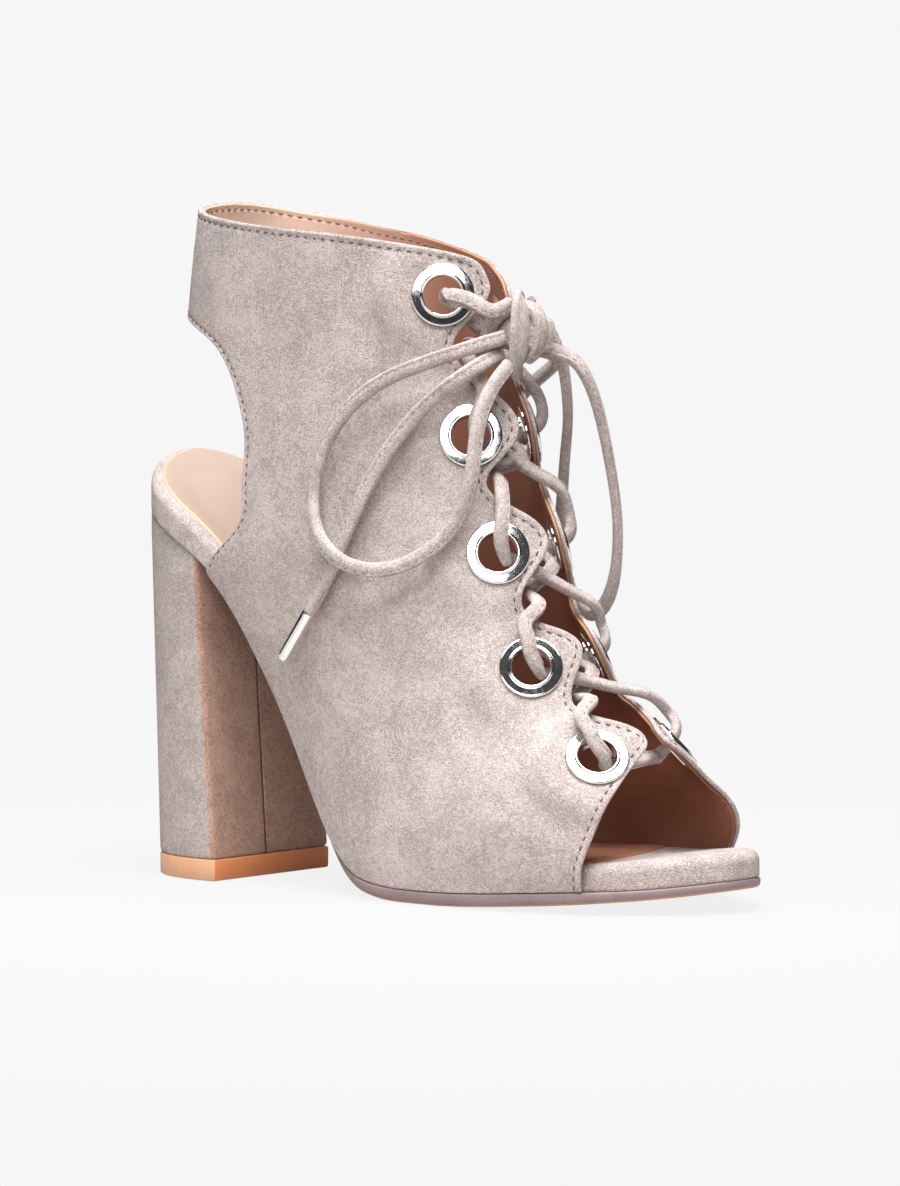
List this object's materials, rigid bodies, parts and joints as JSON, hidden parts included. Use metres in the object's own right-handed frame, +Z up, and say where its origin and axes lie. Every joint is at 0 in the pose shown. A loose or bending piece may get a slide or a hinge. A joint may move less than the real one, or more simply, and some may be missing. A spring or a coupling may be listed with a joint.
{
  "type": "lace-up peep-toe ankle shoe",
  "caption": "Women's suede lace-up ankle shoe with a peep toe, an open heel under an ankle strap and a tall covered block heel.",
  "frame": {"origin": "middle of the shoe's box on the floor that it stands on, the bow left out", "axes": "+X from heel to toe, +Y to the wearer's left, which is the inner side of this right shoe, +Z up"},
  "size_m": [0.2036, 0.081, 0.1936],
  "materials": {
    "suede": "napped suede",
    "insole_wrap": "napped suede",
    "heel_cover": "napped suede",
    "lace": "folded suede",
    "outsole": "satin",
    "top_piece": "matte",
    "metal": "polished"
  },
  "bodies": {
    "root": {"upper": "suede", "insole": "insole_wrap", "outsole": "outsole", "heel_block": "heel_cover", "heel_top_piece": "top_piece", "eyelet_right_1": "metal", "eyelet_right_2": "metal", "eyelet_right_3": "metal", "eyelet_right_4": "metal", "eyelet_right_5": "metal", "eyelet_left_1": "metal", "eyelet_left_2": "metal", "eyelet_left_3": "metal", "eyelet_left_4": "metal", "eyelet_left_5": "metal", "lace_crossings": "lace", "lace_knot": "lace", "lace_loop_right": "lace", "lace_loop_left": "lace", "lace_end_right": "lace", "lace_end_left": "lace", "aglet_right": "metal", "aglet_left": "metal"}
  },
  "joints": []
}
